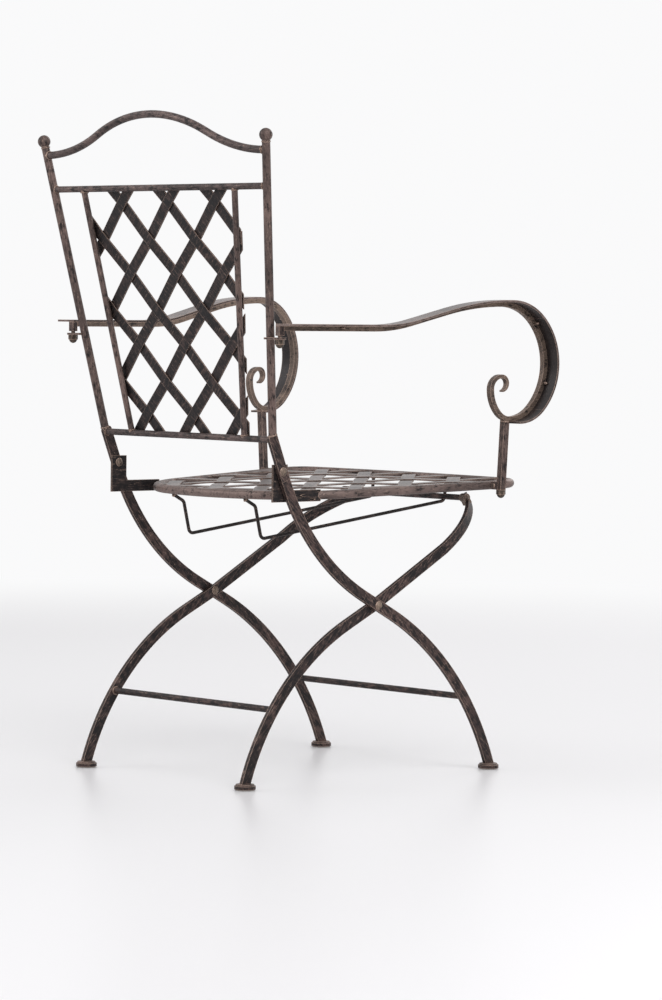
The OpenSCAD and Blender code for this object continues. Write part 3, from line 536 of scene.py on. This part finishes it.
@dataclass
class SubAssembly:
    """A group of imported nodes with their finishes, their edge rounding and their welds."""

    shop: PaintShop
    nodes: dict[str, bpy.types.Object]

    def dress(self, names: list[str], finish: BronzePaint | MattePlastic, width: float = 0.0) -> None:
        """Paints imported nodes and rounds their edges.

        Args:
            names: The nodes.
            finish: Their finish.
            width: Width of the rounding, or 0 for none.
        """
        for name in names:
            piece = self.nodes[name]
            self.shop.coat(piece, finish)
            if width > 0:
                soften(piece, width)
            LOG.info("%s: %s", name, finish.name)

    def weld(self, name: str, body: str, seed: int, parts: list[Bead | Tack]) -> bpy.types.Object:
        """Builds the welds of one body as one piece.

        Args:
            name: Name of the piece.
            body: The body that it rides on.
            seed: Seed of its roughness.
            parts: The beads and tacks.

        Returns:
            The piece.
        """
        mesh = WeldMesh(name, seed)
        for part in parts:
            if isinstance(part, Bead):
                mesh.bead(part)
            else:
                mesh.tack(part)
        made = mesh.piece()
        finish = BronzePaint(
            "bronze_on_welds", Brush.UP, brown=(0.2, 0.145, 0.12), wear=1.0, glaze=1.0, gloss=0.45
        )
        self.shop.coat(made, finish)
        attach(made, body)
        LOG.info("%s: %d welds on %s", name, len(parts), body)
        return made


def mirrored(parts: list[Bead | Tack]) -> list[Bead | Tack]:
    """The parts of the left side together with their mirror images.

    Args:
        parts: Beads and tacks with x above 0.

    Returns:
        Both sides' parts.
    """
    other = []
    for part in parts:
        x, y, z = part.at
        if isinstance(part, Bead):
            ax, ay, az = part.axis
            other.append(Bead((-x, y, z), (-ax, ay, az), part.radius, part.thick, part.stretch, part.arc))
        else:
            other.append(Tack((-x, y, z), part.size))
    return parts + other


@dataclass
class Backrest(SubAssembly):
    """Stiles, rails, arch, inner uprights and the woven strips between them."""

    foot: Point = (188.0 * MM, 185.66 * MM, 491.97 * MM)
    bar_x: float = 185.0 * MM
    bar_end: Point = (190.1 * MM, 188.2 * MM, 506.6 * MM)
    tilt: float = math.radians(9.7)
    splay: float = math.radians(8.05)
    low_s: float = 8.0 * MM
    top_s: float = 372.0 * MM
    arch_s: float = 423.0 * MM
    stile_r: float = 6.0 * MM
    rail_r: float = 4.75 * MM
    upright_r: float = 4.5 * MM
    low_gap: float = 62.0 * MM
    top_gap: float = 70.0 * MM
    arch_r: float = 5.5 * MM
    bar_way: Point = (0.0, 0.375, 0.927)
    ball_x_s: float = 434.0 * MM
    ball_s: float = 434.5 * MM
    strip_edge: float = 0.35 * MM
    bead_thick: float = 1.2 * MM
    bead_out: float = 0.3 * MM

    def at(self, x: float, s: float, proud: float = 0.0) -> Point:
        """Point of the backrest's plane.

        Args:
            x: Place across the chair.
            s: Place up the slope.
            proud: Distance towards the sitter.

        Returns:
            The point.
        """
        c, t = math.cos(self.tilt), math.sin(self.tilt)
        return (x, self.foot[1] + s * t - proud * c, self.foot[2] + s * c + proud * t)

    def stile_x(self, s: float) -> float:
        """Place of the stile's middle across the chair, at a place up the slope."""
        return self.foot[0] + s * math.tan(self.splay)

    def build(self) -> None:
        """Dresses the nodes and adds the welds."""
        iron = BronzePaint("bronze_stiles", Brush.UP, brown=(0.165, 0.115, 0.102), wear=0.9, glaze=0.95)
        rails = BronzePaint("bronze_rails", Brush.ACROSS, brown=(0.125, 0.09, 0.084), wear=0.8, glaze=0.85)
        self.dress(["stiles", "inner_uprights"], iron)
        self.dress(["ball_finials"], iron)
        self.dress(["arch_rail", "upper_rail", "lower_rail"], rails)
        lattice = {"brown": (0.060, 0.040, 0.037), "wear": 0.5}
        rising = BronzePaint("bronze_back_rising", Brush.RISING, **lattice)
        falling = BronzePaint("bronze_back_falling", Brush.FALLING, **lattice)
        self.dress(["back_strips_rising"], rising, self.strip_edge)
        self.dress(["back_strips_falling"], falling, self.strip_edge)
        up = self.at(0, 1)
        slope = (0.0, up[1] - self.foot[1], up[2] - self.foot[2])
        parts = []
        for s, radius in ((self.top_s, self.rail_r), (self.arch_s, self.arch_r)):
            x = self.stile_x(s) - self.stile_r
            parts.append(Bead(self.at(x, s), (1, 0, 0), radius + self.bead_out, self.bead_thick))
        rail_end = self.at(self.bar_x, self.low_s)
        parts.append(Bead(rail_end, (1, 0, 0), self.rail_r + self.bead_out, self.bead_thick))
        for s, gap, side in ((self.low_s, self.low_gap, 1), (self.top_s, self.top_gap, -1)):
            x = self.stile_x(s) - gap
            parts.append(Bead(self.at(x, s + side * self.rail_r), slope, self.upright_r + 0.2 * MM, 1.1 * MM))
        lean = (math.sin(self.splay), slope[1], slope[2])
        parts.append(Bead(self.bar_end, self.bar_way, self.stile_r - 0.6 * MM, 1.5 * MM))
        ball_foot = self.at(self.stile_x(self.ball_x_s), self.ball_s)
        parts.append(Bead(ball_foot, lean, self.stile_r - 0.1 * MM, 1.0 * MM))
        self.weld("backrest_welds", "frame", 11, mirrored(parts))


@dataclass
class Underframe(SubAssembly):
    """Front and rear legs with their stretchers, feet, glides, rivets and washers."""

    front_x: float = 185.0 * MM
    rear_x: float = 177.9 * MM
    front_stretcher: Point = (0.0, -197.1 * MM, 112.0 * MM)
    rear_stretcher: Point = (0.0, 172.2 * MM, 112.0 * MM)
    eye_foot: Point = (136.0 * MM, -249.3 * MM, 402.2 * MM)
    eye_weld: Point = (3.6 * MM, 5.0 * MM, 1.8 * MM)
    stretcher_r: float = 4.75 * MM
    leg_edge: float = 0.8 * MM
    foot_edge: float = 0.6 * MM
    glide_edge: float = 0.3 * MM
    bead_out: float = 0.3 * MM

    def build(self) -> None:
        """Dresses the nodes and adds the welds."""
        front = BronzePaint("bronze_front_legs", Brush.FRONT_LEG, wear=0.85, glaze=0.72)
        rear = BronzePaint("bronze_rear_legs", Brush.REAR_LEG, wear=0.8, glaze=0.55)
        rods = BronzePaint("bronze_stretchers", Brush.ACROSS, wear=0.6, glaze=0.6)
        heads = BronzePaint("bronze_heads", Brush.UP, brown=(0.24, 0.18, 0.14), wear=1.0, glaze=1.0)
        feet = BronzePaint("bronze_feet", Brush.ACROSS, wear=0.9, glaze=0.7)
        self.dress(["front_leg_left", "front_leg_right"], front, self.leg_edge)
        self.dress(["rear_leg_left", "rear_leg_right"], rear, self.leg_edge)
        self.dress(["front_stretcher", "rear_stretcher", "slide_rod"], rods)
        self.dress(["front_feet", "rear_feet"], feet, self.foot_edge)
        self.dress(["front_glides", "rear_glides"], MattePlastic("glide_plastic"), self.glide_edge)
        self.dress(["crossing_rivets", "seat_rivets", "rod_end_heads"], heads)
        self.dress(["crossing_washers", "seat_washers"], feet)
        radius = self.stretcher_r + self.bead_out
        fy, fz = self.front_stretcher[1:]
        ry, rz = self.rear_stretcher[1:]
        self.weld("front_leg_welds", "frame", 21, mirrored([Bead((self.front_x, fy, fz), (1, 0, 0), radius)]))
        self.weld("rear_leg_welds", "rear_legs", 22, mirrored([
            Bead((self.rear_x, ry, rz), (1, 0, 0), radius),
            Tack(self.eye_foot, self.eye_weld),
        ]))


@dataclass
class SeatFrame(SubAssembly):
    """Rim, woven strips, brackets and guide wires."""

    pivot: Point = (0.0, 167.3 * MM, 453.95 * MM)
    drop: float = 38.5 * MM
    tilt: float = math.radians(2.3)
    wire_x: float = 81.0 * MM
    wire_weld_r: float = 2.6 * MM
    wire_weld_thick: float = 1.1 * MM
    bracket_x: float = 185.0 * MM
    bracket_ahead: float = 52.0 * MM
    bracket_weld_r: float = 4.0 * MM
    bracket_stretch: tuple[float, float] = (0.5, 3.4)
    strip_edge: float = 0.35 * MM
    bracket_edge: float = 0.5 * MM

    def at(self, x: float, ahead: float, up: float = 0.0) -> Point:
        """Point of the seat's plane.

        Args:
            x: Place across the chair.
            ahead: Distance in front of the seat rivets.
            up: Distance above the rim's middle.

        Returns:
            The point.
        """
        c, s = math.cos(self.tilt), math.sin(self.tilt)
        return (x, self.pivot[1] - ahead * c + up * s, self.pivot[2] - self.drop + ahead * s + up * c)

    def build(self) -> None:
        """Dresses the nodes and adds the welds."""
        rim = BronzePaint("bronze_rim", Brush.ALONG, brown=(0.2, 0.145, 0.13), wear=0.8, glaze=1.0)
        flat = BronzePaint("bronze_brackets", Brush.ALONG, brown=(0.06, 0.042, 0.038), wear=0.7, glaze=0.4)
        weave = {"brown": (0.16, 0.125, 0.118), "wear": 0.7, "glaze": 0.9, "gloss": 0.3}
        self.dress(["seat_rim"], rim)
        rising = BronzePaint("bronze_seat_rising", Brush.LEFT_DIAGONAL, **weave)
        falling = BronzePaint("bronze_seat_falling", Brush.RIGHT_DIAGONAL, **weave)
        self.dress(["seat_strips_rising"], rising, self.strip_edge)
        self.dress(["seat_strips_falling"], falling, self.strip_edge)
        self.dress(["seat_bracket_left", "seat_bracket_right"], flat, self.bracket_edge)
        self.dress(["guide_wire_left", "guide_wire_right"], flat)
        rear_end = self.at(self.wire_x, 23.4 * MM, -7.4 * MM)
        front_end = self.at(self.wire_x, 424.6 * MM, -6.3 * MM)
        above = self.at(self.bracket_x, self.bracket_ahead, 1.5 * MM)
        below = self.at(self.bracket_x, self.bracket_ahead, -4.5 * MM)
        wide, round_r = self.bracket_stretch, self.bracket_weld_r
        parts = [
            Bead(rear_end, (0, 0.87, 0.5), self.wire_weld_r, self.wire_weld_thick),
            Bead(front_end, (0, 0, 1), self.wire_weld_r, self.wire_weld_thick),
            Bead(above, (1, 0, 0), round_r, 1.3 * MM, wide, (20, 160)),
            Bead(below, (1, 0, 0), round_r, 1.2 * MM, wide, (200, 340)),
        ]
        self.weld("seat_welds", "seat", 31, mirrored(parts))


@dataclass
class Arms(SubAssembly):
    """Upper strips, scrolled bars, posts and the fixings at both ends."""

    rear: Point = (234.1 * MM, 215.3 * MM, 665.5 * MM)
    spread: float = math.radians(5.4)
    scroll_middle: tuple[float, float] = (405.0 * MM, -50.0 * MM)
    scroll_high: tuple[float, float] = (462.2 * MM, 3.9 * MM)
    scroll_low: tuple[float, float] = (479.5 * MM, -84.6 * MM)
    rear_stub: tuple[float, float] = (105.0 * MM, -5.0 * MM)
    post_top: tuple[float, float] = (410.0 * MM, -141.0 * MM)
    stub_out: float = 8.0 * MM
    scroll_stub: Point = (4.0 * MM, 2.4 * MM, 2.4 * MM)
    rear_stub_size: Point = (4.0 * MM, 3.0 * MM, 2.0 * MM)
    strip_edge: float = 0.5 * MM
    bar_edge: float = 0.6 * MM
    post_edge: float = 0.7 * MM
    small_edge: float = 0.4 * MM

    def at(self, ahead: float, up: float, inward: float = 0.0) -> Point:
        """Point of the left arm's upright plane.

        Args:
            ahead: Distance in front of the rear stud.
            up: Distance above the strip's upper face at the rear.
            inward: Distance towards the seat.

        Returns:
            The point.
        """
        c, s = math.cos(self.spread), math.sin(self.spread)
        x, y, z = self.rear
        return (x + ahead * s - inward * c, y - ahead * c - inward * s, z + up)

    def build(self) -> None:
        """Dresses the nodes and adds the welds."""
        # The strips' faces turned to the scroll's middle get painted shade and less rubbing.
        middle = self.at(*self.scroll_middle)
        strip = BronzePaint(
            "bronze_arm_strips", Brush.ALONG, brown=(0.17, 0.128, 0.12), wear=0.9, glaze=0.95, gloss=0.28,
            shade_and_unrubbed_centre=(middle[1], middle[2])
        )
        bar = BronzePaint("bronze_arm_bars", Brush.ALONG, brown=(0.2, 0.145, 0.115), wear=1.0, glaze=1.0)
        post = BronzePaint("bronze_posts", Brush.UP, brown=(0.13, 0.09, 0.08), wear=0.9, glaze=0.85)
        heads = BronzePaint("bronze_nuts", Brush.UP, brown=(0.11, 0.082, 0.06), wear=0.9, glaze=0.8)
        self.dress(["arm_strip_left", "arm_strip_right"], strip, self.strip_edge)
        self.dress(["arm_bar_left", "arm_bar_right"], bar, self.bar_edge)
        self.dress(["arm_post_left", "arm_post_right"], post, self.post_edge)
        self.dress(["arm_rear_blocks", "arm_tabs", "arm_front_lugs"], post, self.small_edge)
        self.dress(["lug_bolts"], heads)
        self.dress(["rear_cap_nuts", "front_cap_nuts"], heads, self.small_edge)
        self.weld("arm_welds", "frame", 41, mirrored([
            Tack(self.at(*self.scroll_high, -self.stub_out), self.scroll_stub),
            Tack(self.at(*self.scroll_low, -self.stub_out), self.scroll_stub),
            Tack(self.at(*self.rear_stub, -self.stub_out), self.rear_stub_size),
            Bead(self.at(*self.post_top), (0, 0, 1), 6.0 * MM, 1.3 * MM),
        ]))


# Stage


@dataclass
class Studio:
    """Pale floor, white surroundings, soft lamps and the camera of the photograph."""

    floor_tone: Colour = (0.83, 0.82, 0.835)
    wall_tone: Colour = (0.955, 0.955, 0.96)
    fade: tuple[float, float] = (2.3, 4.2)
    place: Point = (-4.64186, 4.08313, 0.70121)
    yaw: float = math.radians(132.0)
    pitch: float = -0.0483140
    roll: float = 0.0126591
    focal_px: float = 4155.1
    picture_h: float = 1000.0
    sensor: float = 36.0
    floor_half: float = 16.0
    floor_steps: int = 8
    light_share: float = 0.55
    aim_at: Point = (0.0, 0.0, 0.45)
    far_clip: float = 100.0

    def build(self) -> None:
        """Makes the floor, the world, the lamps and the camera."""
        self._floor()
        self._world()
        self._lamp("key_lamp", place=(-3.2, 1.2, 3.6), size=3.0, power=115.0)
        self._lamp("fill_lamp", place=(2.6, 3.0, 2.6), size=2.6, power=45.0)
        self._lamp("front_lamp", place=(1.0, -3.6, 2.8), size=2.6, power=45.0)
        self._camera()

    def _floor(self) -> None:
        """Large pale floor that fades into the white wall."""
        data = bpy.data.meshes.new("studio_floor")
        mesh = bmesh.new()
        steps = self.floor_steps
        bmesh.ops.create_grid(mesh, x_segments=steps, y_segments=steps, size=self.floor_half)
        mesh.to_mesh(data)
        mesh.free()
        floor = bpy.data.objects.new("studio_floor", data)
        bpy.context.scene.collection.objects.link(floor)
        made = bpy.data.materials.new("studio_floor")
        g = Graph(made)
        place = g.out(g.node("ShaderNodeTexCoord"), "Object")
        flat = g.node("ShaderNodeVectorMath", {"operation": "MULTIPLY"}, {0: place, 1: (1.0, 1.0, 0.0)})
        away = g.out(g.node("ShaderNodeVectorMath", {"operation": "LENGTH"}, {0: g.out(flat)}), "Value")
        far = away.ramp(*self.fade)
        ground = g.node(
            "ShaderNodeBsdfPrincipled",
            None,
            {"Base Color": (*self.floor_tone, 1.0), "Roughness": 0.32, "Specular IOR Level": 0.25},
        )
        wall = g.node("ShaderNodeEmission", None, {"Color": (*self.wall_tone, 1.0), "Strength": 1.0})
        mixed = g.node("ShaderNodeMixShader", None, {0: far, 1: g.out(ground), 2: g.out(wall)})
        g.finish(g.out(mixed))
        data.materials.append(made)

    def _world(self) -> None:
        """White surroundings, dimmer as a source of light than as a background."""
        world = bpy.data.worlds.new("studio_world")
        bpy.context.scene.world = world
        world.use_nodes = True
        tree = world.node_tree
        tree.nodes.clear()
        path = tree.nodes.new("ShaderNodeLightPath")
        seen = tree.nodes.new("ShaderNodeMath")
        seen.operation = "MAXIMUM"
        tree.links.new(path.outputs["Is Camera Ray"], seen.inputs[0])
        tree.links.new(path.outputs["Is Transmission Ray"], seen.inputs[1])
        shown = tree.nodes.new("ShaderNodeMath")
        shown.operation = "MAXIMUM"
        tree.links.new(seen.outputs[0], shown.inputs[0])
        tree.links.new(path.outputs["Is Glossy Ray"], shown.inputs[1])
        strength = tree.nodes.new("ShaderNodeMapRange")
        strength.inputs["To Min"].default_value = self.light_share
        strength.inputs["To Max"].default_value = 1.0
        tree.links.new(shown.outputs[0], strength.inputs["Value"])
        back = tree.nodes.new("ShaderNodeBackground")
        back.inputs["Color"].default_value = (*self.wall_tone, 1.0)
        tree.links.new(strength.outputs["Result"], back.inputs["Strength"])
        out = tree.nodes.new("ShaderNodeOutputWorld")
        tree.links.new(back.outputs[0], out.inputs["Surface"])

    def _lamp(self, name: str, place: Point, size: float, power: float) -> None:
        """Adds one soft square lamp that points at the chair.

        Args:
            name: The lamp's name.
            place: Its place.
            size: Its side.
            power: Its power in watts.
        """
        data = bpy.data.lights.new(name, "AREA")
        data.shape = "SQUARE"
        data.size = size
        data.energy = power
        lamp = bpy.data.objects.new(name, data)
        bpy.context.scene.collection.objects.link(lamp)
        aim = Vector(self.aim_at) - Vector(place)
        lamp.matrix_world = Matrix.Translation(place) @ aim.to_track_quat("-Z", "Y").to_matrix().to_4x4()

    def _camera(self) -> None:
        """Camera of the photograph, found from the chair's own symmetry."""
        cy, sy = math.cos(self.yaw), math.sin(self.yaw)
        cp, sp = math.cos(self.pitch), math.sin(self.pitch)
        ahead = Vector((sy * cp, cy * cp, sp))
        right = Vector((cy, -sy, 0.0))
        up = right.cross(ahead)
        c, s = math.cos(self.roll), math.sin(self.roll)
        right, up = c * right + s * up, c * up - s * right
        turn = Matrix((right, up, -ahead)).transposed().to_4x4()
        data = bpy.data.cameras.new("photo_camera")
        data.sensor_fit = "VERTICAL"
        data.sensor_height = self.sensor
        data.lens = self.focal_px * self.sensor / self.picture_h
        data.clip_end = self.far_clip
        camera = bpy.data.objects.new("photo_camera", data)
        bpy.context.scene.collection.objects.link(camera)
        camera.matrix_world = Matrix.Translation(self.place) @ turn
        bpy.context.scene.camera = camera


def main() -> None:
    """Builds every sub-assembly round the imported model, then the studio."""
    logging.basicConfig(level=logging.INFO, format="%(message)s")
    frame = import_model()
    shop = PaintShop()
    nodes = frame["nodes"]
    for part in (Backrest, Underframe, SeatFrame, Arms):
        part(shop, nodes).build()
    Studio().build()
    bpy.context.scene.view_settings.view_transform = "Standard"


if __name__ == "__main__":
    main()
